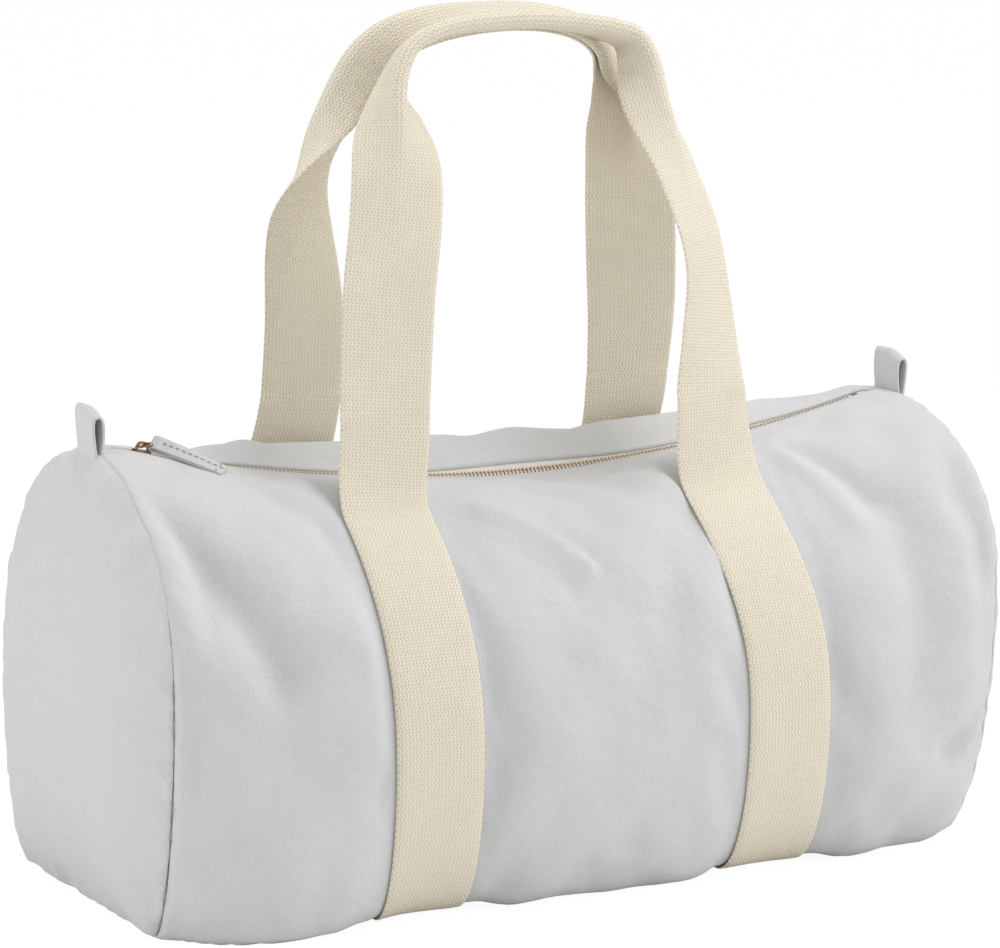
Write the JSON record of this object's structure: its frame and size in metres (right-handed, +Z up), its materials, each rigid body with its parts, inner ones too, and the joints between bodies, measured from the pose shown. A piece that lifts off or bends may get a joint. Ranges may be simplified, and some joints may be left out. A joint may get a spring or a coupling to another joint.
{
  "type": "barrel bag",
  "caption": "Barrel-shaped canvas holdall with a sagging top zip, webbing bands sewn round the body, upright webbing carry handles and a folded tab at each end.",
  "frame": {"origin": "on the floor under the middle of the bag", "axes": "+X along the bag from the closed end of the zip to its open end, +Y to the back, +Z up"},
  "size_m": [0.52, 0.262, 0.472],
  "materials": {
    "canvas": "plain-weave cotton canvas, pale grey, matt, unlined",
    "webbing": "herringbone cotton webbing, natural cream, matt",
    "zip_tape": "woven zip tape, off-white",
    "zip_metal": "antique brass, satin"
  },
  "bodies": {
    "bag": {"body_panel": "canvas", "left_end_panel": "canvas", "right_end_panel": "canvas", "left_seam_binding": "canvas", "right_seam_binding": "canvas", "left_band": "webbing", "right_band": "webbing", "left_tab": "canvas", "right_tab": "canvas", "zip_tape_front": "zip_tape", "zip_tape_back": "zip_tape", "zip_teeth_front": "zip_metal", "zip_teeth_back": "zip_metal", "zip_top_stops": "zip_metal", "zip_bottom_stop": "zip_metal"},
    "front_handle": {"front_handle": "webbing"},
    "back_handle": {"back_handle": "webbing"},
    "slider": {"slider_body": "zip_metal", "slider_bridge": "zip_metal"},
    "link": {"pull_link": "zip_metal"},
    "tab": {"pull_tab": "canvas"}
  },
  "joints": [
    {"name": "zip_travel", "type": "hinge", "parent": "bag", "child": "slider", "pos_m": [0, 0, 1.17457], "axis": [0, -1, 0], "range_deg": [0, 26.56]},
    {"name": "link_swing", "type": "hinge", "parent": "slider", "child": "link", "pos_m": [-0.2191, 0, 0.24651], "axis": [-0.7209, -0.6917, -0.0434], "range_deg": [0, 110]},
    {"name": "tab_swing", "type": "hinge", "parent": "link", "child": "tab", "pos_m": [-0.21451, -0.00486, 0.24777], "axis": [-0.7209, -0.6917, -0.0434], "range_deg": [0, 60]},
    {"name": "front_handle_swing", "type": "hinge", "parent": "bag", "child": "front_handle", "pos_m": [0, -0.0621, 0.22145], "axis": [1, 0, 0], "range_deg": [0, 130]},
    {"name": "back_handle_swing", "type": "hinge", "parent": "bag", "child": "back_handle", "pos_m": [0, 0.0621, 0.22145], "axis": [-1, 0, 0], "range_deg": [0, 130]}
  ]
}
